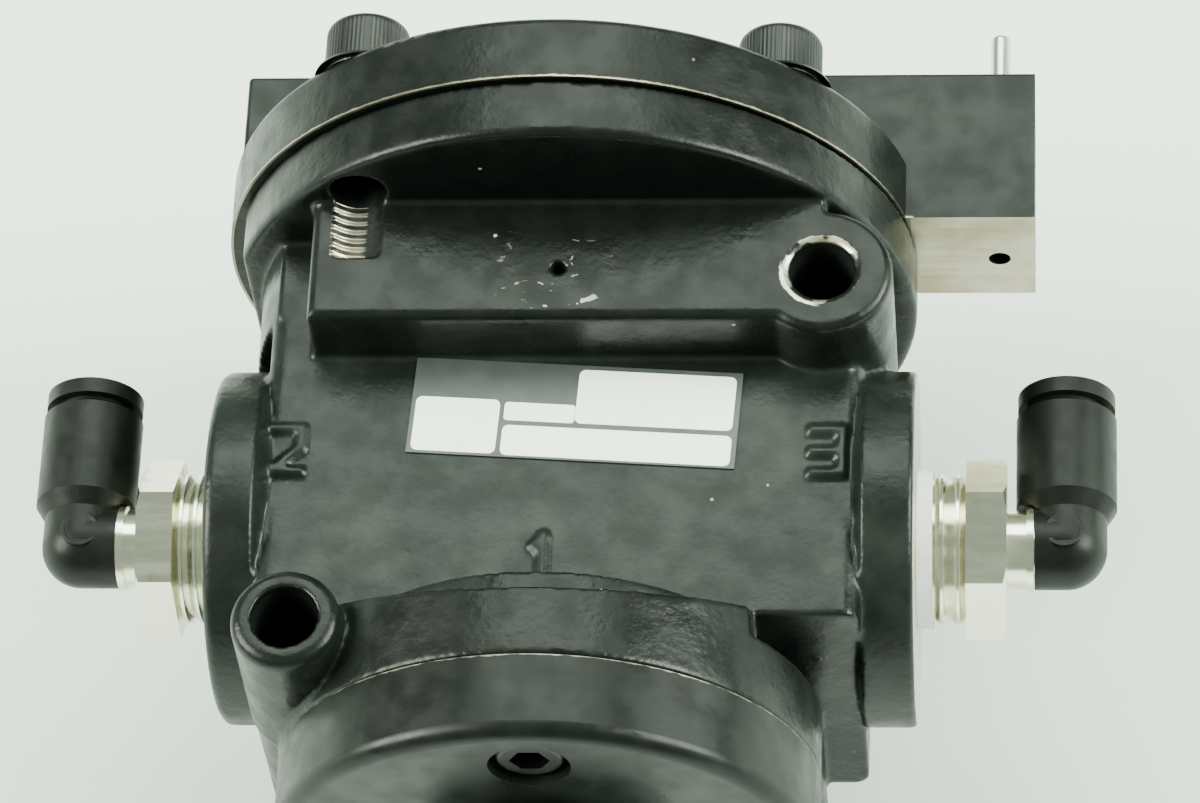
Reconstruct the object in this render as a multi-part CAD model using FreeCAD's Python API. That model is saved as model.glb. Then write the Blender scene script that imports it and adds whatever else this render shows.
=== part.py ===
import FreeCAD
import Part
import math
import os

# Air piloted three port poppet valve with two push-in elbow fittings.
# All lengths in mm. X runs along the two side ports, Y along the poppet stem
# towards the top cover, Z up from the flat backs of the feet.
# Heights in the functions are measured from the stem axis; put_up() adds AXIS_Z.

AXIS_Z = 50.0

# round parts around the stem axis
COVER_R = 49.9
COVER_TOP = 57.1
COVER_BOTTOM = 47.05
GASKET_T = 0.4
GASKET_R = 47.6
FLANGE_TOP = COVER_BOTTOM - GASKET_T
FLANGE_BOTTOM = 38.3
FLANGE_R = 49.2
FLANGE_X = 0.6
FLANGE_FLAT_X = -46.0
BASE_R = 37.5
BASE_TOP = -26.0
JOINT_Y = -36.1
CAP_BOTTOM = -48.1

# casting between the flanges
FACE_Z = 20.5
SIDE_LEFT = -40.4
SIDE_RIGHT = 43.0
PORT_LEFT = -47.6
PORT_RIGHT = 50.4
PORT_DISC_R = 25.0
PORT_BLEND_R = 20.3
PAD_Z = 31.5
PAD_LEFT = -34.0
PAD_BOTTOM = 19.4
BACK_BLOCK_Z = -31.5
BLOCK_BOTTOM = -21.2
BLOCK_TOP = 39.0
MARK_H = 6.8
MARK_W = 1.25
MARK_RAISE = 0.75
MARK_ROOT = 1.5
FOOT_Z = -AXIS_Z
REST_R = 9.0
NECK_R = 44.5
WEB_HALF = 28.5
WEB_SLOPE = 17.0

# mounting holes, from the front face to the feet
HOLE_R = 4.55
SPOT_R = 5.3
SPOT_DEPTH = 0.3
UPPER_HOLE = (37.5, 27.0)
LOWER_HOLE = (-33.8, -27.4)
UPPER_BOSS_R = 9.8
LOWER_BOSS_R = 7.5
FOOT_R = 8.8
SMALL_FOOT_R = 6.8

# cover screws, 5/16 inch socket head
SCREW_R = 3.97
SCREW_HEAD_R = 5.95
SCREW_HEAD_H = 7.9
SCREW_PITCH_R = 43.5
SCREW_ANGLE = 44.7
SCREW_SPREAD = 84.5
SCREW_TIP = 39.2
SCREW_HEX = 6.35
SCREW_GAP = 0.25
OPEN_SCREW_DEPTH = 29.3

# cap screws, 1/4 inch socket head in counterbores
CAP_SCREW_R = 3.17
CAP_SCREW_HEAD_R = 4.75
CAP_SCREW_HEAD_H = 6.35
CAP_SCREW_PITCH_R = 28.1
CAP_COUNTERBORE_R = 5.6
CAP_SCREW_HEX = 4.76
CAP_SCREWS = 3
CAP_COUNTERBORE_H = 7.2

# pilot bar on the cover
BAR_LEFT = -47.8
BAR_RIGHT = 66.7
BAR_TOP = 71.7
BAR_BACK = -8.4
BAR_FRONT = 12.5
PIN_X = 61.6
PIN_Z = 1.2
PIN_R = 1.45
PIN_TOP = 85.0
PIN_COLLAR_R = 3.2
PIN_COLLAR_Y = 64.0
PILOT_R = 4.35
PILOT_DEPTH = 10.0
PILOT_Z = 2.0
PIN_SPRING_Y = 56.0
POCKET_R = 3.6

# valve works inside
STROKE = 6.0
STEM_R = 3.5
PISTON_BORE_R = 29.0
PISTON_FLOOR = 33.5
PISTON_R = 28.95
PISTON_TOP = 46.0
PISTON_BOTTOM = 40.0
BUSH_R = 8.0
SEAL_R = 5.2
SEAL_LOW = 28.4
SEAL_HIGH = 30.6
CHAMBER_R = 20.0
UPPER_ROOF = 25.5
CHAMBER_EDGE = 12.0
MIDDLE_R = 13.0
SEAT_OUT_R = 15.5
SEAT_IN_R = 10.5
SEAT_LIP = 13.5
POPPET_R = 14.0
SPRING_R = 12.5
SPRING_WIRE_R = 1.0
RUNS_PER_TURN = 14
CAP_SPIGOT_R = 23.9
SPRING_WELL_R = 16.0
SPRING_FLOOR = -39.5
CAP_GROOVE_R = 22.2
CAP_GROOVE = (-36.1, -34.9)
PORT_WAY_R = 8.5
VENT = (0.9, 27.4)
POPPET_H = 4.5
RUBBER_R = 13.2
RUBBER_IN_R = 6.0
RUBBER_H = 2.4
PISTON_GROOVE_R = 26.2
PISTON_GROOVE = (41.6, 44.4)
NUT_POCKET = 3.4

# side port fittings
THREAD_R = 10.65
BORE_R = 10.0
HEX_AF = 22.2
STUD_R = 5.5
ELBOW_ARM_R = 5.7
BARREL_R = 7.1
TUBE_R = 3.175
SOCKET_STOP = 5.5
ELBOW_WAY_R = 2.4
TUBE_SEAL = (5.2, 9.0, 11.2)
LEFT_ELBOW_X = 68.2
RIGHT_ELBOW_X = 71.2


def put_up(shape):
    shape.translate(FreeCAD.Vector(0, 0, AXIS_Z))
    return shape


def cyl(r, start, length, way):
    return put_up(Part.makeCylinder(r, length, FreeCAD.Vector(*start), FreeCAD.Vector(*way)))


def cyl_y(r, y0, y1, x=0.0, z=0.0):
    return cyl(r, (x, y0, z), y1 - y0, (0, 1, 0))


def cyl_x(r, x0, x1, y=0.0, z=0.0):
    return cyl(r, (x0, y, z), x1 - x0, (1, 0, 0))


def cyl_z(r, z0, z1, x, y):
    return cyl(r, (x, y, z0), z1 - z0, (0, 0, 1))


def cone_y(r0, r1, y0, y1, x=0.0, z=0.0):
    return put_up(Part.makeCone(r0, r1, y1 - y0, FreeCAD.Vector(x, y0, z), FreeCAD.Vector(0, 1, 0)))


def cone_x(r0, r1, x0, x1, y=0.0, z=0.0):
    return put_up(Part.makeCone(r0, r1, x1 - x0, FreeCAD.Vector(x0, y, z), FreeCAD.Vector(1, 0, 0)))


def cone_z(r0, r1, z0, z1, x, y):
    return put_up(Part.makeCone(r0, r1, z1 - z0, FreeCAD.Vector(x, y, z0), FreeCAD.Vector(0, 0, 1)))


def block(x0, x1, y0, y1, z0, z1):
    return put_up(Part.makeBox(x1 - x0, y1 - y0, z1 - z0, FreeCAD.Vector(x0, y0, z0)))


def join(shapes):
    first = shapes[0]
    return merge_faces(first.multiFuse(shapes[1:]))


def merge_faces(shape):
    # joins faces that lie in one surface; the shape stays as it was if that fails
    try:
        merged = shape.removeSplitter()
    except Exception:
        return shape
    return merged if merged.isValid() else shape


def take(shape, tools):
    for tool in tools:
        shape = shape.cut(tool)
    return merge_faces(shape)


def ring_y(r_out, r_in, y0, y1, x=0.0, z=0.0):
    return cyl_y(r_out, y0, y1, x, z).cut(cyl_y(r_in, y0 - 1, y1 + 1, x, z))


def ring_x(r_out, r_in, x0, x1):
    return cyl_x(r_out, x0, x1).cut(cyl_x(r_in, x0 - 1, x1 + 1))


def hexagon(flats, start, length, way, turn=0.0):
    # hexagonal bar along +X or +Y; turn is in degrees about its own axis
    corner_r = flats / math.sqrt(3.0)
    points = []
    for k in range(7):
        a = math.radians(60.0 * k + turn)
        c = corner_r * math.cos(a)
        s = corner_r * math.sin(a)
        if way == "x":
            points.append(FreeCAD.Vector(start[0], start[1] + c, start[2] + s))
        else:
            points.append(FreeCAD.Vector(start[0] + c, start[1], start[2] + s))
    face = Part.Face(Part.makePolygon(points))
    step = FreeCAD.Vector(length, 0, 0) if way == "x" else FreeCAD.Vector(0, length, 0)
    return put_up(face.extrude(step))


def turned(points, axis):
    # solid of revolution from (along, radius) points around the X or Y axis
    corners = []
    for along, radius in points:
        if axis == "x":
            corners.append(FreeCAD.Vector(along, radius, 0))
        else:
            corners.append(FreeCAD.Vector(radius, along, 0))
    corners.append(corners[0])
    face = Part.Face(Part.makePolygon(corners))
    way = FreeCAD.Vector(1, 0, 0) if axis == "x" else FreeCAD.Vector(0, 1, 0)
    solid = face.revolve(FreeCAD.Vector(0, 0, 0), way, 360.0)
    return put_up(solid)


def soften(shape, radius, wanted):
    # rounds the edges that wanted() accepts, one at a time; an edge that
    # cannot be rounded keeps its corner
    done = []
    while True:
        todo = []
        for edge in shape.Edges:
            m = edge.CenterOfMass
            key = (round(m.x, 1), round(m.y, 1), round(m.z, 1))
            if key not in done and wanted(edge, m.x, m.y, m.z - AXIS_Z):
                todo.append((key, edge))
        if not todo:
            return shape
        key, edge = todo[0]
        done.append(key)
        try:
            trial = shape.makeFillet(radius, [edge])
            if trial.isValid() and len(trial.Solids) == 1:
                shape = trial
        except Exception:
            pass


def screw_places():
    places = []
    for k in range(2):
        for extra in (0.0, SCREW_SPREAD):
            a = math.radians(SCREW_ANGLE + extra + 180.0 * k)
            places.append((SCREW_PITCH_R * math.cos(a), SCREW_PITCH_R * math.sin(a)))
    return places


def cap_screw_places():
    places = []
    for k in range(CAP_SCREWS):
        a = math.radians(90.0 + 360.0 * k / CAP_SCREWS)
        places.append((CAP_SCREW_PITCH_R * math.cos(a), CAP_SCREW_PITCH_R * math.sin(a)))
    return places


def rounded_cyl_x(r, x0, x1, edge_r, outer):
    # port disc with its outer rim rounded
    disc = cyl_x(r, x0, x1)
    rims = [e for e in disc.Edges if abs(e.CenterOfMass.x - outer) < 0.01 and e.Length > 10]
    return disc.makeFillet(edge_r, rims[:1])


def body_outside():
    x_up, y_up = UPPER_HOLE
    x_low, y_low = LOWER_HOLE
    core = block(SIDE_LEFT, SIDE_RIGHT, BLOCK_BOTTOM, BLOCK_TOP, BACK_BLOCK_Z, FACE_Z)
    long_edges = [e for e in core.Edges if abs(e.Length - (BLOCK_TOP - BLOCK_BOTTOM)) < 0.01]
    core = core.makeFillet(2.5, long_edges)
    core = join([
        core,
        rounded_cyl_x(PORT_DISC_R, PORT_LEFT, SIDE_LEFT, 1.4, PORT_LEFT),
        rounded_cyl_x(PORT_DISC_R, SIDE_RIGHT, PORT_RIGHT, 0.8, PORT_RIGHT),
        cone_x(PORT_DISC_R, PORT_BLEND_R, SIDE_LEFT - 0.2, SIDE_LEFT + 1.4),
        cone_x(PORT_BLEND_R, PORT_DISC_R, SIDE_RIGHT - 1.0, SIDE_RIGHT + 0.2),
    ])
    core = join([core, cyl_y(BASE_R - 6, BASE_TOP - 1, BLOCK_BOTTOM + 1)])
    pad = block(PAD_LEFT, x_up, PAD_BOTTOM, FLANGE_BOTTOM + 1, 10, PAD_Z)
    pad_edges = [e for e in pad.Edges if abs(e.CenterOfMass.z - AXIS_Z - PAD_Z) < 0.01
                 and (e.CenterOfMass.y < PAD_BOTTOM + 0.1 or e.CenterOfMass.x < PAD_LEFT + 0.1)]
    pad = pad.makeFillet(1.3, pad_edges)
    upper_boss = cyl_z(UPPER_BOSS_R, -8, PAD_Z, x_up, y_up)
    boss_rim = [e for e in upper_boss.Edges if abs(e.CenterOfMass.z - AXIS_Z - PAD_Z) < 0.01]
    upper_boss = upper_boss.makeFillet(1.3, boss_rim[:1])
    tower = join([cone_z(LOWER_BOSS_R + 0.2, LOWER_BOSS_R, 6, PAD_Z, x_low, y_low),
                  cyl_z(LOWER_BOSS_R - 0.2, -20, 7, x_low, y_low)])
    tower_rim = [e for e in tower.Edges if abs(e.CenterOfMass.z - AXIS_Z - PAD_Z) < 0.01]
    tower = tower.makeFillet(1.7, tower_rim[:1])
    web = cyl_y(BASE_R, BASE_TOP - 1, BLOCK_BOTTOM).common(block(-WEB_HALF, WEB_HALF, -30, -20, 0, 40))
    slope = Part.makeBox(80, 10, 40, FreeCAD.Vector(-40, 0, -20))
    slope.rotate(FreeCAD.Vector(0, 0, 0), FreeCAD.Vector(1, 0, 0), WEB_SLOPE)
    slope.translate(FreeCAD.Vector(0, -22.0, AXIS_Z + 24.4))
    pieces = [core, pad, upper_boss, tower, web.cut(slope), cyl_y(BASE_R, JOINT_Y, BASE_TOP)]
    for x, y, r, top in feet():
        pieces.append(cyl_z(r, FOOT_Z, top, x, y))
    neck = cyl_y(NECK_R, 26, FLANGE_BOTTOM + 1).common(block(-60, 60, 20, 50, BACK_BLOCK_Z, FACE_Z))
    pieces.append(neck)
    flange = cyl_y(FLANGE_R, FLANGE_BOTTOM, FLANGE_TOP, FLANGE_X)
    low_rim = [e for e in flange.Edges if abs(e.CenterOfMass.y - FLANGE_BOTTOM) < 0.01]
    pieces.append(flange.makeFillet(1.0, low_rim[:1]))
    shape = join(pieces)
    return shape.cut(block(-60, FLANGE_FLAT_X, 36, 50, -60, 60))


def feet():
    # x, y, radius and top of the corner feet and the middle rest at the back
    return [
        (UPPER_HOLE[0], UPPER_HOLE[1], FOOT_R, 2.0),
        (-36.0, UPPER_HOLE[1], FOOT_R, 2.0),
        (LOWER_HOLE[0], LOWER_HOLE[1], SMALL_FOOT_R, -10.0),
        (30.0, -21.5, SMALL_FOOT_R, -8.0),
        (0.0, 0.0, REST_R, -22.0),
    ]


def body_hollows():
    tools = [
        cyl_y(PISTON_BORE_R, PISTON_FLOOR, FLANGE_TOP + 1),
        cyl_y(BUSH_R, UPPER_ROOF - 1, PISTON_FLOOR + 1),
        cyl_y(CHAMBER_R, CHAMBER_EDGE, UPPER_ROOF),
        cyl_y(SEAT_OUT_R, 9.5, CHAMBER_EDGE + 1),
        cyl_y(MIDDLE_R, -10, 10),
        cyl_y(SEAT_OUT_R, -CHAMBER_EDGE - 1, -9.5),
        cyl_y(CHAMBER_R, -34, -CHAMBER_EDGE),
        cyl_y(24.0, JOINT_Y - 1, -32),
        cyl_x(BORE_R, PORT_LEFT - 1, PORT_LEFT + 16),
        cyl_x(BORE_R, PORT_RIGHT - 16, PORT_RIGHT + 1),
        cyl_x(PORT_WAY_R, PORT_LEFT + 15, -25),
        cyl_x(PORT_WAY_R, 8, PORT_RIGHT - 15),
        cyl_y(6.0, 0, 19, -26),
        cyl_x(6.0, -26, -10, 18.5),
        cyl_z(1.0, 24, PAD_Z + 1, *VENT),
        cyl_y(1.0, 27, PISTON_FLOOR + 1, VENT[0], 24.8),
    ]
    for hole in (UPPER_HOLE, LOWER_HOLE):
        tools.append(cyl_z(HOLE_R, FOOT_Z - 1, PAD_Z + 1, *hole))
    tools.append(cyl_z(SPOT_R, PAD_Z - SPOT_DEPTH, PAD_Z + 1, *UPPER_HOLE))
    for n, place in enumerate(screw_places()):
        depth = OPEN_SCREW_DEPTH if n == 1 else SCREW_TIP - 0.4
        tools.append(cyl_y(SCREW_R, depth, FLANGE_TOP + 1, *place))
    for place in cap_screw_places():
        tools.append(cyl_y(CAP_SCREW_R, JOINT_Y - 1, -26.5, *place))
    return tools


def stroke(x0, y0, x1, y1):
    # one raised bar of a cast port number, on the front face
    length = math.hypot(x1 - x0, y1 - y0) + MARK_W
    corner = FreeCAD.Vector(-MARK_W / 2, -MARK_W / 2, FACE_Z - MARK_ROOT)
    bar = Part.makeBox(length, MARK_W, MARK_RAISE + MARK_ROOT, corner)
    bar.rotate(FreeCAD.Vector(0, 0, 0), FreeCAD.Vector(0, 0, 1), math.degrees(math.atan2(y1 - y0, x1 - x0)))
    bar.translate(FreeCAD.Vector(x0, y0, 0))
    return put_up(bar)


def port_marks():
    # port numbers 1 (cap), 2 (left) and 3 (right) as raised strokes
    h = MARK_H / 2
    w = MARK_H * 0.3
    one = [(-w * 0.6, h - 1.4, 0, h), (0, h, 0, -h)]
    two = [(-w, h, w, h), (w, h, w, 0.3), (w, 0.3, -w, -h), (-w, -h, w, -h)]
    three = [(-w, h, w, h), (w, h, w, -h), (-w, 0, w, 0), (-w, -h, w, -h)]
    bars = []
    for strokes, (x, y) in ((one, (-0.4, -12.6)), (two, (-36.9, 4.4)), (three, (38.3, 4.1))):
        for x0, y0, x1, y1 in strokes:
            bars.append(stroke(x + x0, y + y0, x + x1, y + y1))
    return bars


def body_casting():
    shape = take(body_outside(), body_hollows())
    for bar in port_marks():
        shape = shape.fuse(bar)
    return shape


def top_cover():
    disc = cyl_y(COVER_R, COVER_BOTTOM, COVER_TOP)
    rim = [e for e in disc.Edges if abs(e.CenterOfMass.y - COVER_TOP) < 0.01 and e.Length > 10]
    disc = disc.makeFillet(1.4, rim[:1])
    bar = block(BAR_LEFT, BAR_RIGHT, COVER_TOP - 2, BAR_TOP, BAR_BACK, BAR_FRONT)
    end = block(20, BAR_RIGHT, COVER_BOTTOM, COVER_TOP + 1, BAR_BACK, BAR_FRONT)
    shape = join([disc, bar, end])
    shape = soften(shape, 0.7, lambda e, x, y, z: y > COVER_TOP + 1 and e.Length > 5
                   and (x < BAR_LEFT + 0.1 or y > BAR_TOP - 0.1) and x < BAR_RIGHT - 0.1)
    tools = [
        cyl_y(26.0, COVER_BOTTOM - 1, COVER_BOTTOM + 2.0),
        cyl_y(2.0, COVER_BOTTOM, BAR_TOP - PILOT_DEPTH + 1, 0, PILOT_Z),
        cyl_y(PILOT_R, BAR_TOP - PILOT_DEPTH, BAR_TOP + 1, 0, PILOT_Z),
        cyl_y(PIN_R + 0.15, COVER_BOTTOM - 1, BAR_TOP + 1, PIN_X, PIN_Z),
        cyl_y(POCKET_R, PIN_SPRING_Y, BAR_TOP + 1, PIN_X, PIN_Z),
    ]
    for place in screw_places():
        tools.append(cyl_y(SCREW_R + SCREW_GAP, COVER_BOTTOM - 1, COVER_TOP + 1, *place))
    return take(shape, tools)


def cover_gasket():
    shape = cyl_y(GASKET_R, FLANGE_TOP, COVER_BOTTOM)
    shape = shape.cut(block(-60, FLANGE_FLAT_X + 0.4, 36, 50, -60, 60))
    tools = [cyl_y(PISTON_BORE_R + 0.6, FLANGE_TOP - 1, COVER_BOTTOM + 1)]
    for place in screw_places():
        tools.append(cyl_y(SCREW_R + SCREW_GAP, FLANGE_TOP - 1, COVER_BOTTOM + 1, *place))
    return take(shape, tools)


def socket_screw(x, z, seat_y, tip_y, r, head_r, head_h, flats, up):
    # up is +1 when the head points along +Y and -1 when it points along -Y
    if up > 0:
        head = cyl_y(head_r, seat_y, seat_y + head_h, x, z)
        shank = cyl_y(r - 0.03, tip_y, seat_y + 0.5, x, z)
        socket = hexagon(flats, (x, seat_y + head_h * 0.45, z), head_h, "y")
        top = seat_y + head_h
    else:
        head = cyl_y(head_r, seat_y - head_h, seat_y, x, z)
        shank = cyl_y(r - 0.03, seat_y - 0.5, tip_y, x, z)
        socket = hexagon(flats, (x, seat_y - head_h - 1, z), head_h * 0.55 + 1, "y")
        top = seat_y - head_h
    rim = [e for e in head.Edges if abs(e.CenterOfMass.y - top) < 0.01 and e.Length > 5]
    head = head.makeFillet(0.9, rim[:1])
    return join([head, shank]).cut(socket)


def cover_screws():
    screws = []
    for x, z in screw_places():
        screws.append(socket_screw(x, z, COVER_TOP, SCREW_TIP, SCREW_R, SCREW_HEAD_R,
                                   SCREW_HEAD_H, SCREW_HEX, 1))
    return Part.makeCompound(screws)


def bottom_cap():
    disc = cyl_y(BASE_R, CAP_BOTTOM, JOINT_Y)
    rim = [e for e in disc.Edges if abs(e.CenterOfMass.y - CAP_BOTTOM) < 0.01 and e.Length > 10]
    disc = disc.makeFillet(2.2, rim[:1])
    shape = join([disc, cyl_y(CAP_SPIGOT_R, JOINT_Y - 1, -34.2), cyl_y(17.0, CAP_BOTTOM - 7, CAP_BOTTOM + 1)])
    tools = [
        cyl_y(BORE_R, CAP_BOTTOM - 8, SPRING_FLOOR),
        cyl_y(SPRING_WELL_R, SPRING_FLOOR, -33),
        ring_y(CAP_SPIGOT_R + 1, CAP_GROOVE_R, *CAP_GROOVE),
    ]
    for x, z in cap_screw_places():
        tools.append(cyl_y(CAP_SCREW_R + 0.2, CAP_BOTTOM - 1, JOINT_Y + 1, x, z))
        tools.append(cyl_y(CAP_COUNTERBORE_R, CAP_BOTTOM - 1, CAP_BOTTOM + CAP_COUNTERBORE_H, x, z))
    return take(shape, tools)


def bottom_cap_seal():
    return ring_y(CAP_SPIGOT_R + 0.1, CAP_GROOVE_R, *CAP_GROOVE)


def bottom_cap_screws():
    screws = []
    for x, z in cap_screw_places():
        screws.append(socket_screw(x, z, CAP_BOTTOM + CAP_COUNTERBORE_H, -28.0, CAP_SCREW_R, CAP_SCREW_HEAD_R,
                                   CAP_SCREW_HEAD_H, CAP_SCREW_HEX, -1))
    return Part.makeCompound(screws)


def label_plate():
    plate = block(-22.9, 22.9, -7.6, 7.6, FACE_Z, FACE_Z + 0.25)
    plate.rotate(FreeCAD.Vector(0, 0, 0), FreeCAD.Vector(0, 0, 1), -3.4)
    plate.translate(FreeCAD.Vector(3.1, 10.3, 0))
    return plate


def seat_ring(up):
    # flanged brass ring with a narrow raised lip the rubber closes on
    points = [(9.5, SEAT_IN_R), (9.5, SEAT_OUT_R), (CHAMBER_EDGE, SEAT_OUT_R), (CHAMBER_EDGE, 12.5),
              (SEAT_LIP, 11.8), (SEAT_LIP, SEAT_IN_R)]
    return turned([(a * up, r) for a, r in points], "y")


def stem_bush():
    body = ring_y(BUSH_R, STEM_R + 0.05, UPPER_ROOF, PISTON_FLOOR)
    return body.cut(ring_y(SEAL_R, STEM_R, SEAL_LOW, SEAL_HIGH))


def stem_seal():
    return ring_y(SEAL_R, STEM_R + 0.02, SEAL_LOW, SEAL_HIGH)


def poppet_stem():
    rod = cyl_y(STEM_R, -21.5, 45.2)
    return rod.cut(ring_y(6, 2.9, -30, -17.8))


def poppet_disc(face, up):
    # metal backing disc; the rubber sits in a pocket on the seat side
    y0 = face if up > 0 else face - POPPET_H
    disc = cyl_y(POPPET_R, y0, y0 + POPPET_H)
    return take(disc, [poppet_rubber(face, up), cyl_y(STEM_R, y0 - 1, y0 + 6)])


def poppet_rubber(face, up):
    if up > 0:
        return ring_y(RUBBER_R, RUBBER_IN_R, face, face + RUBBER_H)
    return ring_y(RUBBER_R, RUBBER_IN_R, face - RUBBER_H, face)


def piston():
    disc = cyl_y(PISTON_R, PISTON_BOTTOM, PISTON_TOP)
    tools = [
        cyl_y(STEM_R, PISTON_BOTTOM - 1, PISTON_TOP + 1),
        cyl_y(9.0, PISTON_TOP - NUT_POCKET, PISTON_TOP + 1),
        ring_y(PISTON_R + 1, PISTON_GROOVE_R, *PISTON_GROOVE),
    ]
    return take(disc, tools)


def piston_seal():
    return ring_y(PISTON_R + 0.03, PISTON_GROOVE_R, *PISTON_GROOVE)


def stem_nuts():
    top = hexagon(11.0, (0, PISTON_TOP - NUT_POCKET, 0), 2.6, "y").cut(cyl_y(STEM_R, 30, 50))
    low = hexagon(10.0, (0, -21.35, 0), 3.2, "y").cut(cyl_y(2.9, -30, -10))
    return Part.makeCompound([top, low])


def coil(r, wire_r, y0, y1, turns, x=0.0, z=0.0):
    # round wire spring made of short straight runs; it stays just inside y0 and y1
    low = y0 + wire_r + 0.15
    high = y1 - wire_r - 0.15
    count = int(turns * RUNS_PER_TURN)
    points = []
    for k in range(count + 1):
        a = 2 * math.pi * k / RUNS_PER_TURN
        rise = low + (high - low) * k / count
        points.append(FreeCAD.Vector(x + r * math.cos(a), rise, z + r * math.sin(a)))
    path = Part.makePolygon(points)
    ring = Part.makeCircle(wire_r, points[0], points[1].sub(points[0]))
    return put_up(path.makePipeShell([Part.Wire(ring)], True, False, 1))


def return_spring():
    return coil(SPRING_R, SPRING_WIRE_R, SPRING_FLOOR, -18.1, 5)


def thread_profile(x0, x1, root, crest, pitch):
    # ring grooves standing in for the screw thread
    points = [(x0, 0.0), (x0, root)]
    count = int((x1 - x0) / pitch)
    step = (x1 - x0) / count
    for k in range(count):
        a = x0 + k * step
        points.append((a + step * 0.4, crest))
        points.append((a + step * 0.6, crest))
        points.append((a + step, root))
    points.append((x1, 0.0))
    return turned(points, "x")


def reducer(face, thread_end, hex_end):
    # built for the right side: face < thread_end < hex_end
    inner = cyl_x(BORE_R, face - 12, face + 0.5)
    thread = thread_profile(face + 0.1, thread_end, 9.75, THREAD_R, 1.814)
    head = hexagon(HEX_AF, (thread_end, 0, 0), hex_end - thread_end, "x", 20)
    rim = cone_x(17.8, 11.2, hex_end - 3.2, hex_end + 0.3).fuse(cyl_x(18, thread_end - 1, hex_end - 3.2))
    head = head.common(rim)
    shape = join([inner, thread, head])
    return shape.cut(cyl_x(STUD_R + 0.1, face - 13, hex_end + 1))


def thread_tape():
    return ring_x(11.1, THREAD_R + 0.02, PORT_RIGHT + 0.02, PORT_RIGHT + 2.2)


def stud(hex_end, lip_end):
    # nickel stud screwed into the reducer; the elbow swivels on its nose
    shank = cyl_x(STUD_R, hex_end - 9, lip_end - 1.0)
    lip = cyl_x(STUD_R + 0.5, lip_end - 1.0, lip_end)
    nose = cyl_x(4.0, lip_end - 0.5, lip_end + 3.5)
    head = cyl_x(4.35, lip_end + 2.2, lip_end + 3.2)
    return join([shank, lip, nose, head]).cut(cyl_x(ELBOW_WAY_R, hex_end - 10, lip_end + 5))


def mirror_x(shape):
    return shape.mirror(FreeCAD.Vector(0, 0, 0), FreeCAD.Vector(1, 0, 0))


def elbow(lip_end, axis_x):
    # swivel elbow for the right side, barrel along +Y
    arm = cyl_x(ELBOW_ARM_R, lip_end + 0.1, axis_x)
    bend = put_up(Part.makeSphere(ELBOW_ARM_R, FreeCAD.Vector(axis_x, 0, 0)))
    neck = cyl_y(ELBOW_ARM_R, 0, 4.2, axis_x)
    taper = cone_y(ELBOW_ARM_R, BARREL_R, 4.2, 6.4, axis_x)
    barrel = cyl_y(BARREL_R, 6.4, 20.4, axis_x)
    shape = join([arm, bend, neck, taper, barrel])
    tools = [
        cyl_x(6.3, lip_end - 8, lip_end + 0.1),
        cyl_x(4.05, lip_end - 1, lip_end + 4.0),
        cyl_x(4.4, lip_end + 2.1, lip_end + 3.4),
        cyl_x(ELBOW_WAY_R, lip_end, axis_x),
        cyl_y(ELBOW_WAY_R, 0, 8, axis_x),
        cyl_y(TUBE_R + 0.05, SOCKET_STOP, 21, axis_x),
        cyl_y(*TUBE_SEAL, axis_x),
        cyl_y(5.0, 13.0, 21, axis_x),
    ]
    return take(shape, tools)


def tube_seal(axis_x):
    r, low, high = TUBE_SEAL
    return ring_y(r, TUBE_R + 0.1, low, high, axis_x)


def release_ring(axis_x):
    # collet sleeve, neck and the button that is pressed to free the tube
    bore = TUBE_R + 0.1
    sleeve = ring_y(4.95, bore, 15.0, 21.5, axis_x)
    neck = ring_y(5.6, bore, 21.4, 22.0, axis_x)
    button = ring_y(6.9, bore, 21.9, 24.2, axis_x)
    return join([sleeve, button, neck])


def override_pin():
    rod = cyl_y(PIN_R, 50.5, PIN_TOP, PIN_X, PIN_Z)
    tip = [e for e in rod.Edges if abs(e.CenterOfMass.y - PIN_TOP) < 0.01 and e.Length > 2]
    rod = rod.makeFillet(0.7, tip[:1])
    collar = cyl_y(PIN_COLLAR_R, PIN_COLLAR_Y, PIN_COLLAR_Y + 1.6, PIN_X, PIN_Z)
    return join([rod, collar])


def override_bush():
    return ring_y(POCKET_R, PIN_R + 0.05, 66.0, BAR_TOP, PIN_X, PIN_Z)


def override_spring():
    return coil(2.5, 0.35, PIN_SPRING_Y, PIN_COLLAR_Y, 6, PIN_X, PIN_Z)


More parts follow.
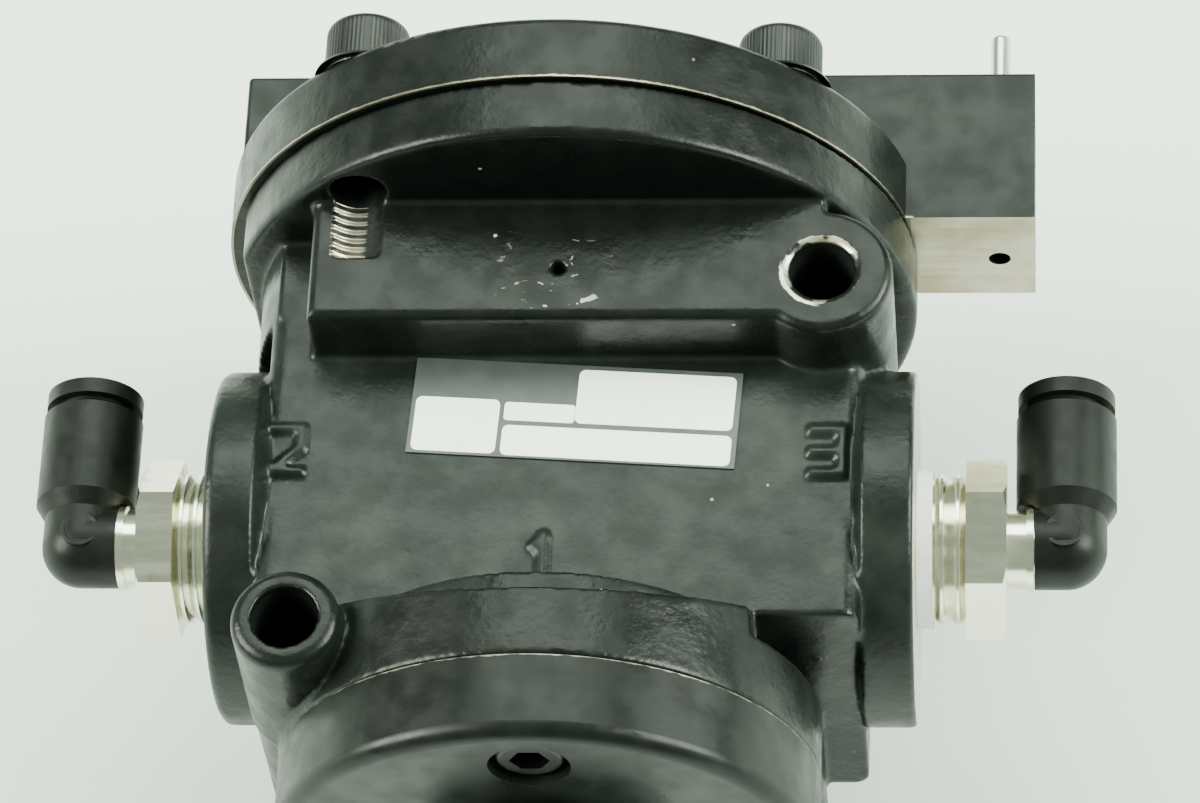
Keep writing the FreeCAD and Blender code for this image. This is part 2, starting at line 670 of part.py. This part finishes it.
NODES = {
    "body_casting": body_casting,
    "top_cover": top_cover,
    "cover_gasket": cover_gasket,
    "cover_screws": cover_screws,
    "bottom_cap": bottom_cap,
    "bottom_cap_seal": bottom_cap_seal,
    "bottom_cap_screws": bottom_cap_screws,
    "label_plate": label_plate,
    "upper_seat_ring": lambda: seat_ring(1),
    "lower_seat_ring": lambda: seat_ring(-1),
    "stem_bush": stem_bush,
    "stem_seal": stem_seal,
    "poppet_stem": poppet_stem,
    "upper_poppet": lambda: poppet_disc(SEAT_LIP + STROKE + 0.05, 1),
    "upper_poppet_seal": lambda: poppet_rubber(SEAT_LIP + STROKE + 0.05, 1),
    "lower_poppet": lambda: poppet_disc(-SEAT_LIP - 0.05, -1),
    "lower_poppet_seal": lambda: poppet_rubber(-SEAT_LIP - 0.05, -1),
    "piston": piston,
    "piston_seal": piston_seal,
    "stem_nuts": stem_nuts,
    "return_spring": return_spring,
    "reducer_right": lambda: reducer(PORT_RIGHT, 57.2, 62.9),
    "reducer_left": lambda: mirror_x(reducer(-PORT_LEFT, 53.7, 58.9)),
    "thread_tape_right": thread_tape,
    "stud_right": lambda: stud(62.9, 66.6),
    "stud_left": lambda: mirror_x(stud(58.9, 62.6)),
    "elbow_right": lambda: elbow(66.6, RIGHT_ELBOW_X),
    "elbow_left": lambda: mirror_x(elbow(62.6, LEFT_ELBOW_X)),
    "tube_seal_right": lambda: tube_seal(RIGHT_ELBOW_X),
    "tube_seal_left": lambda: tube_seal(-LEFT_ELBOW_X),
    "release_ring_right": lambda: release_ring(RIGHT_ELBOW_X),
    "release_ring_left": lambda: release_ring(-LEFT_ELBOW_X),
    "override_pin": override_pin,
    "override_bush": override_bush,
    "override_spring": override_spring,
}

os.makedirs("parts", exist_ok=True)
for name, make in NODES.items():
    shape = make()
    print(name, shape.isValid(), len(shape.Solids), round(shape.Volume, 1))
    shape.exportStep("parts/" + name + ".step")
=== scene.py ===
import math
import bmesh
import bpy
from mathutils import Matrix, Vector


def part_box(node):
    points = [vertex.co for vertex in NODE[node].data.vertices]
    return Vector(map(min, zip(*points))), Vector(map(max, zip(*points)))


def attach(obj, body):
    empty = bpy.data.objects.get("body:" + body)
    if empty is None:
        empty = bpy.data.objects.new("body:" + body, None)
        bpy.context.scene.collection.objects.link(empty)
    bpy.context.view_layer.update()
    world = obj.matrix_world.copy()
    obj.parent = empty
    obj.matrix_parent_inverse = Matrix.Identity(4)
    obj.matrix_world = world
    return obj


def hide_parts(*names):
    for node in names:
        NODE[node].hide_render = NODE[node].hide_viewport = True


# Looks of the poppet valve. Metres, row frame: X along the side ports,
# Y along the stem towards the cover, Z up from the feet.

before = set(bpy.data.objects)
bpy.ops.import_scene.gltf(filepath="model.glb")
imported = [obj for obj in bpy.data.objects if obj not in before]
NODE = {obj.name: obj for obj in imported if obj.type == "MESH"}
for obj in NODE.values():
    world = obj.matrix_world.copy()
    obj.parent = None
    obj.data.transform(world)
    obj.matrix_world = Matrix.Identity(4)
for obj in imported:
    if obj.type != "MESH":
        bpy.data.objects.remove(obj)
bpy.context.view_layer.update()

MM = 0.001
AXIS_Z = 0.050
FACE_Z = AXIS_Z + 20.5 * MM
PAD_Z = AXIS_Z + 31.5 * MM
UPPER_HOLE = (37.5 * MM, 27.0 * MM)
VENT = (0.9 * MM, 27.4 * MM)
SCREW_PITCH_R = 43.5 * MM
SCREW_ANGLE = 44.7
SCREW_SPREAD = 84.5
SCREW_HEAD_R = 5.95 * MM
SCREW_HEAD_H = 7.9 * MM
SCREW_HEX = 6.35 * MM
OPEN_SCREW = (-27.5 * MM, AXIS_Z + 33.7 * MM)
THREAD_PITCH = 1.41 * MM
PORT_FACE_X = 50.25 * MM
CHIP = (1.5 * MM, -20.7 * MM)


# ---------------------------------------------------------------- materials

class Tree:
    """Short names for building one material's node tree."""

    def __init__(self, name):
        self.mat = bpy.data.materials.new(name)
        self.mat.use_nodes = True
        self.nt = self.mat.node_tree
        self.nt.nodes.clear()
        self.out = self.nt.nodes.new("ShaderNodeOutputMaterial")
        self.co = self.nt.nodes.new("ShaderNodeTexCoord").outputs["Object"]
        xyz = self.nt.nodes.new("ShaderNodeSeparateXYZ")
        self.nt.links.new(self.co, xyz.inputs[0])
        self.x, self.y, self.z = xyz.outputs[:3]
        geo = self.nt.nodes.new("ShaderNodeNewGeometry")
        nrm = self.nt.nodes.new("ShaderNodeSeparateXYZ")
        self.nt.links.new(geo.outputs["Normal"], nrm.inputs[0])
        self.nx, self.ny = nrm.outputs[:2]

    def put(self, socket, value):
        if isinstance(value, bpy.types.NodeSocket):
            self.nt.links.new(value, socket)
        else:
            socket.default_value = value

    def math(self, op, a, b=0.0, c=0.0):
        n = self.nt.nodes.new("ShaderNodeMath")
        n.operation = op
        for s, v in zip(n.inputs, (a, b, c)):
            self.put(s, v)
        return n.outputs[0]

    def noise(self, scale, detail=2.0, rough=0.5, stretch=None, warp=0.0):
        n = self.nt.nodes.new("ShaderNodeTexNoise")
        n.inputs["Scale"].default_value = scale
        n.inputs["Detail"].default_value = detail
        n.inputs["Roughness"].default_value = rough
        n.inputs["Distortion"].default_value = warp
        if stretch:
            m = self.nt.nodes.new("ShaderNodeMapping")
            m.inputs["Scale"].default_value = stretch
            self.nt.links.new(self.co, m.inputs[0])
            self.nt.links.new(m.outputs[0], n.inputs["Vector"])
        else:
            self.nt.links.new(self.co, n.inputs["Vector"])
        return n.outputs[0]

    def cells(self, scale):
        n = self.nt.nodes.new("ShaderNodeTexVoronoi")
        n.inputs["Scale"].default_value = scale
        self.nt.links.new(self.co, n.inputs["Vector"])
        return n.outputs["Distance"]

    def span(self, value, low, high, to_low=0.0, to_high=1.0):
        n = self.nt.nodes.new("ShaderNodeMapRange")
        n.interpolation_type = "SMOOTHSTEP"
        self.put(n.inputs["Value"], value)
        ends = {"From Min": low, "From Max": high, "To Min": to_low, "To Max": to_high}
        for key, v in ends.items():
            n.inputs[key].default_value = v
        return n.outputs[0]

    def blend(self, fac, a, b):
        n = self.nt.nodes.new("ShaderNodeMix")
        n.data_type = "RGBA"
        self.put(n.inputs["Factor"], fac)
        for s, v in zip((n.inputs[6], n.inputs[7]), (a, b)):
            self.put(s, v if isinstance(v, bpy.types.NodeSocket) else (*v, 1.0))
        return n.outputs[2]

    def bump(self, height, distance, strength=1.0):
        n = self.nt.nodes.new("ShaderNodeBump")
        n.inputs["Strength"].default_value = strength
        n.inputs["Distance"].default_value = distance
        self.put(n.inputs["Height"], height)
        return n.outputs[0]

    def shader(self, color, rough, metal=0.0, normal=None, spec=0.5):
        n = self.nt.nodes.new("ShaderNodeBsdfPrincipled")
        self.put(n.inputs["Base Color"], color)
        self.put(n.inputs["Roughness"], rough)
        n.inputs["Metallic"].default_value = metal
        n.inputs["Specular IOR Level"].default_value = spec
        if normal is not None:
            self.put(n.inputs["Normal"], normal)
        return n.outputs[0]

    def mix(self, fac, a, b):
        n = self.nt.nodes.new("ShaderNodeMixShader")
        self.put(n.inputs[0], fac)
        self.nt.links.new(a, n.inputs[1])
        self.nt.links.new(b, n.inputs[2])
        return n.outputs[0]

    def end(self, shader):
        self.nt.links.new(shader, self.out.inputs["Surface"])
        return self.mat

    # masks: 1 inside, 0 outside, with limits in metres

    def radius(self, a, b, ca, cb):
        da = self.math("SUBTRACT", a, ca)
        db = self.math("SUBTRACT", b, cb)
        squares = self.math("MULTIPLY_ADD", da, da, self.math("MULTIPLY", db, db))
        return self.math("SQRT", squares)

    def apart(self, a, centre):
        return self.math("ABSOLUTE", self.math("SUBTRACT", a, centre))

    def ragged(self, scale, depth):
        return self.math("MULTIPLY", self.math("SUBTRACT", self.noise(scale, 3.0), 0.5), depth)

    def below(self, value, limit, soft=0.00005):
        return self.span(value, limit - soft, limit + soft, 1.0, 0.0)

    def above(self, value, limit, soft=0.00005):
        return self.span(value, limit - soft, limit + soft)

    def both(self, *masks):
        m = masks[0]
        for other in masks[1:]:
            m = self.math("MULTIPLY", m, other)
        return m

    def any(self, *masks):
        m = masks[0]
        for other in masks[1:]:
            m = self.math("MAXIMUM", m, other)
        return m


def enamel_parts(t, grain, gloss=0.30):
    """Black brushed-on enamel over a sand casting: colour, roughness and normal."""
    coarse = t.noise(330.0, 3.0, 0.55)
    fine = t.noise(1250.0, 2.0, 0.5)
    pits = t.span(t.cells(420.0), 0.0, 0.32, 0.0, 1.0)
    h = t.math("MULTIPLY_ADD", coarse, 1.0, t.math("MULTIPLY", fine, 0.30))
    h = t.math("MULTIPLY_ADD", pits, 0.10, h)
    normal = t.bump(h, grain * MM, 1.0)
    dust = t.span(t.noise(75.0, 4.0, 0.6), 0.42, 0.72)
    color = t.blend(dust, (0.0062, 0.0080, 0.0068), (0.0135, 0.0175, 0.0148))
    # Painted shade: enamel from PAD_Z less 1 mm upwards is darker, standing in for the weaker reflection on
    # the pad's face.
    color = t.blend(t.above(t.z, PAD_Z - 1.0 * MM, 0.0005), color, (0.0040, 0.0052, 0.0044))
    speck = t.both(t.below(t.cells(170.0), 0.045, 0.012), t.above(t.noise(38.0, 2.0), 0.60, 0.03))
    color = t.blend(speck, color, (0.42, 0.42, 0.38))
    rough = t.span(t.noise(210.0, 3.0), 0.3, 0.7, gloss - 0.06, gloss + 0.10)
    return color, rough, normal


def bare_parts(t, warm=0.0, streak=(40.0, 900.0, 900.0)):
    """Machined aluminium with fine tool lines and some staining."""
    lines = t.noise(1.0, 3.0, 0.6, stretch=streak)
    stain = t.span(t.noise(90.0, 3.0, 0.6), 0.40, 0.75)
    clean = (0.60 + 0.05 * warm, 0.58, 0.54 - 0.08 * warm)
    color = t.blend(stain, clean, (0.44, 0.37, 0.25))
    rough = t.span(lines, 0.3, 0.7, 0.30, 0.48)
    return color, rough, t.bump(lines, 0.03 * MM, 0.8)


def enamel(name, grain, gloss=0.30, masks=None, warm=0.0, thread=None):
    """Enamel everywhere but where masks(t) is 1, which is bare metal."""
    t = Tree(name)
    color, rough, normal = enamel_parts(t, grain, gloss)
    paint = t.shader(color, rough, normal=normal, spec=0.23)
    if masks is None:
        return t.end(paint)
    b_color, b_rough, b_normal = bare_parts(t, warm)
    if thread is not None:
        b_normal = t.bump(thread(t), 0.35 * MM, 1.0)
    metal = t.shader(b_color, b_rough, 1.0, b_normal)
    return t.end(t.mix(masks(t), paint, metal))


def body_masks(t):
    """Bare metal: hole rim, open screw hole, port face, a chip and the scratches, and a painted highlight on
    the lower-left of the upper hole's ring.
    """
    ragged = t.ragged(800.0, 0.0007)
    upper = t.radius(t.x, t.y, *UPPER_HOLE)
    upper_ragged = t.math("ADD", upper, ragged)
    at_pad = t.above(t.z, PAD_Z - 1.2 * MM)
    hole_rim = t.both(t.below(upper_ragged, 5.5 * MM, 0.0001), t.above(upper, 4.7 * MM, 0.0002),
                      at_pad, t.above(t.noise(230.0), 0.55, 0.03))
    # Painted highlight: bare metal only on the lower-left part of the ring round the upper hole, standing in
    # for the glint there.
    painted_glint = t.both(t.below(upper_ragged, 5.95 * MM, 0.0001), t.above(upper, 5.35 * MM, 0.0001),
                   t.below(t.x, UPPER_HOLE[0] - 1.0 * MM, 0.001),
                   t.below(t.y, UPPER_HOLE[1] + 0.5 * MM, 0.001), at_pad)
    groove = t.both(t.below(t.radius(t.x, t.z, *OPEN_SCREW), 4.35 * MM, 0.0001),
                    t.below(t.x, -27.0 * MM, 0.0008), t.above(t.y, 29.1 * MM), t.below(t.y, 38.2 * MM),
                    t.below(t.math("ADD", t.z, ragged), PAD_Z - 0.05 * MM, 0.0001))
    face = t.both(t.above(t.x, PORT_FACE_X), t.above(t.nx, 0.9, 0.05))
    chip_x = t.math("ABSOLUTE", t.math("ADD", t.math("SUBTRACT", t.x, CHIP[0]), ragged))
    chip = t.both(t.below(chip_x, 1.6 * MM, 0.0001), t.below(t.apart(t.y, CHIP[1]), 0.75 * MM, 0.0001),
                  t.above(t.z, FACE_Z - 1 * MM), t.below(t.z, FACE_Z + 1 * MM))
    near = t.below(t.radius(t.x, t.y, *VENT), 7.5 * MM, 0.003)
    lines = t.above(t.noise(1.0, 3.0, 0.6, stretch=(260.0, 620.0, 260.0), warp=1.2), 0.665, 0.012)
    scratch = t.both(near, lines, t.above(t.z, PAD_Z - 0.4 * MM), 0.6)
    return t.any(hole_rim, painted_glint, groove, face, chip, scratch)


def body_thread(t):
    """Thread lines in the open screw hole."""
    n = t.nt.nodes.new("ShaderNodeTexWave")
    n.wave_type = "BANDS"
    n.bands_direction = "Y"
    n.inputs["Scale"].default_value = 1.0 / THREAD_PITCH / 20.0 * math.pi * 2
    n.inputs["Distortion"].default_value = 0.0
    t.nt.links.new(t.co, n.inputs["Vector"])
    near = t.both(t.below(t.radius(t.x, t.z, *OPEN_SCREW), 4.5 * MM, 0.0001), t.above(t.y, 28.8 * MM))
    return t.math("MULTIPLY", n.outputs[0], near)


def cover_masks(t):
    """Worn line along the cover's lower rim, and the machined end under the bar."""
    low = t.math("ADD", t.y, t.ragged(700.0, 0.0005))
    r = t.radius(t.x, t.z, 0.0, AXIS_Z)
    rim = t.both(t.below(low, 47.3 * MM, 0.0001), t.above(r, 49.5 * MM), t.below(t.x, 49.4 * MM))
    overhang = t.both(t.above(t.x, 49.0 * MM), t.below(t.ny, -0.7, 0.1))
    return t.any(t.math("MULTIPLY", rim, 0.55), overhang)


def cap_masks(t):
    """Worn line along the cap's joint, and the machined bore."""
    high = t.math("ADD", t.y, t.ragged(500.0, 0.0008))
    r = t.radius(t.x, t.z, 0.0, AXIS_Z)
    rim = t.both(t.above(high, -36.2 * MM, 0.00008), t.above(r, 37.2 * MM))
    bore = t.below(r, 10.4 * MM, 0.0001)
    return t.any(t.math("MULTIPLY", rim, 0.35), bore)


def metal(name, color, dark, rough, lines=(900.0, 60.0, 900.0), depth=0.02, spots=0.5):
    t = Tree(name)
    grain = t.noise(1.0, 3.0, 0.6, stretch=lines)
    tarnish = t.span(t.noise(160.0, 4.0, 0.6), spots, spots + 0.3)
    c = t.blend(tarnish, color, dark)
    r = t.span(grain, 0.3, 0.7, rough - 0.05, rough + 0.09)
    return t.end(t.shader(c, r, 1.0, t.bump(grain, depth * MM, 0.7)))


def plastic(name, color, light, rough, grain=0.02, scale=2600.0, spec=0.5):
    t = Tree(name)
    tex = t.noise(scale, 2.0, 0.5)
    cloud = t.span(t.noise(140.0, 4.0, 0.6), 0.40, 0.75)
    r = t.span(t.noise(300.0, 3.0), 0.3, 0.7, rough - 0.05, rough + 0.07)
    normal = t.bump(tex, grain * MM, 0.8)
    return t.end(t.shader(t.blend(cloud, color, light), r, normal=normal, spec=spec))


MAT = {
    "body": enamel("cast_enamel", 0.125, 0.31, body_masks, thread=body_thread),
    "cover": enamel("cover_enamel", 0.12, 0.34, cover_masks, warm=1.0),
    "cap": enamel("cap_enamel", 0.022, 0.33, cap_masks, warm=1.0),
    "oxide": metal("black_oxide", (0.045, 0.046, 0.047), (0.075, 0.066, 0.055), 0.38, depth=0.03),
    "nickel": metal("nickel_plate", (0.84, 0.82, 0.68), (0.58, 0.48, 0.28), 0.17,
                    (60.0, 500.0, 500.0), 0.012, 0.55),
    "steel": metal("zinc_steel", (0.66, 0.69, 0.70), (0.46, 0.46, 0.44), 0.28),
    "brass": metal("brass", (0.76, 0.60, 0.26), (0.50, 0.38, 0.16), 0.25),
    "aluminium": metal("turned_aluminium", (0.64, 0.63, 0.60), (0.48, 0.44, 0.36), 0.33),
    "elbow": plastic("elbow_plastic", (0.0045, 0.0055, 0.0046), (0.0075, 0.0090, 0.0076), 0.40, spec=0.20),
    "rubber": plastic("seal_rubber", (0.012, 0.012, 0.012), (0.02, 0.02, 0.02), 0.6),
    # Painted shade: the gasket is near black to stand in for the shadowed gap between the cover and the
    # body's flange.
    "gasket": plastic("gasket_fibre", (0.012, 0.011, 0.008), (0.03, 0.027, 0.02), 0.8, 0.05, 1800.0, 0.2),
    "tape": plastic("ptfe_tape", (0.80, 0.81, 0.80), (0.66, 0.66, 0.64), 0.55, 0.05, 900.0),
    "label_dark": plastic("label_ground", (0.045, 0.050, 0.050), (0.060, 0.065, 0.063), 0.38, 0.006, 1500.0),
    "label_white": plastic("label_field", (0.93, 0.94, 0.92), (0.88, 0.89, 0.87), 0.42, 0.004, 1500.0),
}

BY_NODE = {
    "body_casting": "body", "top_cover": "cover", "bottom_cap": "cap", "cover_gasket": "gasket",
    "bottom_cap_seal": "rubber", "bottom_cap_screws": "oxide", "cover_screws": "oxide",
    "label_plate": "label_dark", "upper_seat_ring": "brass", "lower_seat_ring": "brass", "stem_bush": "brass",
    "stem_seal": "rubber", "reducer_left": "nickel", "reducer_right": "nickel", "thread_tape_right": "tape",
    "stud_left": "nickel", "stud_right": "nickel", "override_bush": "brass", "poppet_stem": "steel",
    "upper_poppet": "aluminium", "lower_poppet": "aluminium", "upper_poppet_seal": "rubber",
    "lower_poppet_seal": "rubber", "piston": "aluminium", "piston_seal": "rubber", "stem_nuts": "steel",
    "return_spring": "steel", "elbow_left": "elbow", "elbow_right": "elbow", "tube_seal_left": "rubber",
    "tube_seal_right": "rubber", "release_ring_left": "elbow", "release_ring_right": "elbow",
    "override_pin": "steel", "override_spring": "steel",
}
for name, key in BY_NODE.items():
    data = NODE[name].data
    data.materials.clear()
    data.materials.append(MAT[key])


# ---------------------------------------------------------------- mesh helpers

def new_piece(name, bm, mat, body, smooth=True):
    data = bpy.data.meshes.new(name)
    bm.normal_update()
    bm.to_mesh(data)
    bm.free()
    obj = bpy.data.objects.new(name, data)
    bpy.context.scene.collection.objects.link(obj)
    data.materials.append(mat)
    for p in data.polygons:
        p.use_smooth = smooth
    if smooth:
        data.set_sharp_from_angle(angle=math.radians(35))
    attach(obj, body)
    return obj


def skin(bm, rings, close_end=False):
    """Quads between rings of points, each ring with the same count."""
    rows = [[bm.verts.new(p) for p in ring] for ring in rings]
    n = len(rows[0])
    for a, b in zip(rows, rows[1:]):
        for i in range(n):
            bm.faces.new((a[i], a[(i + 1) % n], b[(i + 1) % n], b[i]))
    if close_end:
        bm.faces.new(rows[-1])


def round_ring(cx, cz, y, radius_at, n):
    """Points of one closed ring around a line along Y."""
    ring = []
    for i in range(n):
        a = 2 * math.pi * i / n
        rr = radius_at(a)
        ring.append((cx + rr * math.cos(a), y, cz - rr * math.sin(a)))
    return ring


def hex_radius(flats, angle):
    third = math.pi / 3
    return flats / 2 / math.cos((angle % third) - third / 2)


def knurled_screw(bm, place, seat_y, r, height, flats):
    """Socket head along +Y with a knurled side, rounded top and hexagon socket."""
    n = 240
    teeth = 60
    side = [(0.0, 0.985, 0.0), (0.02, 1.0, 0.0), (0.10, 1.0, 1.0), (0.80, 1.0, 1.0), (0.87, 1.0, 0.3),
            (0.93, 0.975, 0.0), (0.975, 0.93, 0.0), (1.0, 0.86, 0.0)]
    rows = []
    for h, f, knurl in side:
        def outside(a, f=f, knurl=knurl):
            return r * f * (1.0 - 0.022 * knurl * (0.5 + 0.5 * math.cos(teeth * a)))
        rows.append(round_ring(*place, seat_y + height * h, outside, n))
    for h, grow in ((1.0, 1.08), (0.965, 1.0), (0.5, 1.0)):
        def inside(a, grow=grow):
            return hex_radius(flats, a) * grow
        rows.append(round_ring(*place, seat_y + height * h, inside, n))
    skin(bm, rows, close_end=True)


def lathe_y(bm, profile, cx, cz, n=96):
    skin(bm, [round_ring(cx, cz, y, lambda a, r=r: r, n) for y, r in profile])


def plate(bm, cx, cy, w, h, corner, z0, z1, spin, steps=6):
    """Flat plate with rounded corners, parallel to the front face."""
    points = []
    for sx, sy, a0 in ((1, 1, 0), (-1, 1, 90), (-1, -1, 180), (1, -1, 270)):
        for k in range(steps + 1):
            a = math.radians(a0 + 90 * k / steps)
            points.append((sx * (w / 2 - corner) + corner * math.cos(a),
                           sy * (h / 2 - corner) + corner * math.sin(a)))
    c, s = math.cos(spin), math.sin(spin)

    def at(p, z):
        x, y = p[0] + cx, p[1] + cy
        return (LABEL_X + x * c - y * s, LABEL_Y + x * s + y * c, z)
    skin(bm, [[at(p, z0) for p in points], [at(p, z1) for p in points]], close_end=True)


# ---------------------------------------------------------------- pieces

def cover_screw_places():
    places = []
    for k in range(2):
        for extra in (0.0, SCREW_SPREAD):
            a = math.radians(SCREW_ANGLE + extra + 180.0 * k)
            places.append((SCREW_PITCH_R * math.cos(a), AXIS_Z + SCREW_PITCH_R * math.sin(a)))
    return places


places = cover_screw_places()
head_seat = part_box("cover_screws")[1].y - SCREW_HEAD_H
bm = bmesh.new()
for place in places:
    knurled_screw(bm, place, head_seat, SCREW_HEAD_R, SCREW_HEAD_H, SCREW_HEX)
screws = new_piece("cover_screw_heads", bm, MAT["oxide"], "valve_body")
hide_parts("cover_screws")

bm = bmesh.new()
for place in places:
    lathe_y(bm, [(head_seat - 0.1 * MM, 7.3 * MM), (head_seat + 0.35 * MM, 7.1 * MM),
                 (head_seat + 0.35 * MM, 5.6 * MM)], *place)
spots = new_piece("cover_screw_seats", bm, MAT["cover"], "valve_body")

# label: plain white fields on the dark plate, no lettering
label_lo, label_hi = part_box("label_plate")
LABEL_X = (label_lo.x + label_hi.x) / 2
LABEL_Y = (label_lo.y + label_hi.y) / 2
LABEL_SPIN = math.radians(-3.4)
label_z = label_hi.z
# centre, size and corner radius of each field, in mm from the plate's centre
FIELDS = (
    (11.1, 2.6, 22.0, 8.6, 0.9),
    (-16.4, -2.9, 11.8, 8.6, 0.9),
    (-4.9, -0.3, 9.9, 2.9, 0.5),
    (6.2, -4.9, 32.0, 4.8, 0.9),
)
bm = bmesh.new()
for cx, cy, w, h, corner in FIELDS:
    plate(bm, cx * MM, cy * MM, w * MM, h * MM, corner * MM,
          label_z - 0.02 * MM, label_z + 0.04 * MM, LABEL_SPIN)
fields = new_piece("label_fields", bm, MAT["label_white"], "valve_body", smooth=False)

# moulded ejector mark on each elbow's bend, and the collar under its release ring
BARREL_R = 7.1 * MM
MARK_PROFILE = ((2.75, 4.8), (2.75, 5.45), (2.6, 5.58), (2.2, 5.58), (2.1, 5.5), (0.4, 5.52))
COLLAR_PROFILE = ((20.35, 6.6), (20.6, 6.5), (20.8, 6.2), (20.8, 5.75), (20.35, 5.75))
for side, where, collar_key in ((-1, "left", "elbow"), (1, "right", "brass")):
    lo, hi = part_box("elbow_" + where)
    cx = (lo.x + BARREL_R) if side < 0 else (hi.x - BARREL_R)
    bm = bmesh.new()
    n = 64
    rows = []
    for rr, zz in MARK_PROFILE:
        ring = []
        for i in range(n):
            a = 2 * math.pi * i / n
            ring.append((cx - side * 0.4 * MM + rr * MM * math.cos(a),
                         0.3 * MM + rr * MM * math.sin(a), AXIS_Z + zz * MM))
        rows.append(ring)
    skin(bm, rows, close_end=True)
    mark = new_piece("ejector_mark_" + where, bm, MAT["elbow"], where + "_elbow")
    bm = bmesh.new()
    lathe_y(bm, [(y * MM, r * MM) for y, r in COLLAR_PROFILE], cx, AXIS_Z)
    collar = new_piece("barrel_collar_" + where, bm, MAT[collar_key], where + "_elbow")


# ---------------------------------------------------------------- CAD nodes' edges

def cast_softness(name, voxel, passes):
    """Rounds every edge and inside corner of a casting a little."""
    obj = NODE[name]
    m = obj.modifiers.new("cast", "REMESH")
    m.mode = "VOXEL"
    m.voxel_size = voxel * MM
    m.use_smooth_shade = True
    s = obj.modifiers.new("soft", "SMOOTH")
    s.factor = 0.5
    s.iterations = passes


cast_softness("body_casting", 0.42, 4)


# ---------------------------------------------------------------- stage

def flat(name, size, z):
    data = bpy.data.meshes.new(name)
    corners = [(-size, -size, z), (size, -size, z), (size, size, z), (-size, size, z)]
    data.from_pydata(corners, [], [(0, 1, 2, 3)])
    obj = bpy.data.objects.new(name, data)
    bpy.context.scene.collection.objects.link(obj)
    return obj


floor = flat("floor", 3.0, 0.0)
t = Tree("floor_paper")
paper = t.blend(t.noise(9.0, 3.0), (0.855, 0.90, 0.865), (0.88, 0.92, 0.885))
floor.data.materials.append(t.end(t.shader(paper, 0.75, spec=0.2)))


def soft_light(name, place, target, size, size_y, power, color):
    data = bpy.data.lights.new(name, "AREA")
    data.shape = "RECTANGLE"
    data.size = size
    data.size_y = size_y
    data.energy = power
    data.color = color
    obj = bpy.data.objects.new(name, data)
    obj.location = place
    obj.rotation_euler = (Vector(target) - Vector(place)).to_track_quat("-Z", "Y").to_euler()
    bpy.context.scene.collection.objects.link(obj)


AIM = (0.0, 0.0, 0.05)
soft_light("over_back", (0.0, 0.70, 1.15), AIM, 1.1, 0.7, 19.0, (0.86, 1.0, 0.86))
soft_light("left_side", (-1.2, -0.1, 0.9), AIM, 0.8, 0.8, 56.0, (0.90, 1.0, 0.86))
soft_light("right_side", (1.2, 0.1, 0.9), AIM, 0.8, 0.8, 56.0, (0.88, 1.0, 0.87))
world = bpy.data.worlds.new("studio")
world.use_nodes = True
sky = world.node_tree.nodes["Background"]
sky.inputs[0].default_value = (0.82, 1.0, 0.83, 1.0)
sky.inputs[1].default_value = 0.50
bpy.context.scene.world = world


# ---------------------------------------------------------------- camera

camera_data = bpy.data.cameras.new("camera")
camera_data.sensor_width = 36.0
camera_data.lens = 174.19
camera_data.clip_start = 0.05
camera_data.clip_end = 20.0
camera = bpy.data.objects.new("camera", camera_data)
right = Vector((0.996747, 0.039394, -0.070314))
up = Vector((0.000982, 0.866409, 0.499335))
back = right.cross(up).normalized()
up = back.cross(right).normalized()
turn = Matrix((right.normalized(), up, back)).transposed().to_4x4()
turn.translation = Vector((0.071593, -0.389602, 0.767581))
camera.matrix_world = turn
bpy.context.scene.collection.objects.link(camera)
bpy.context.scene.camera = camera
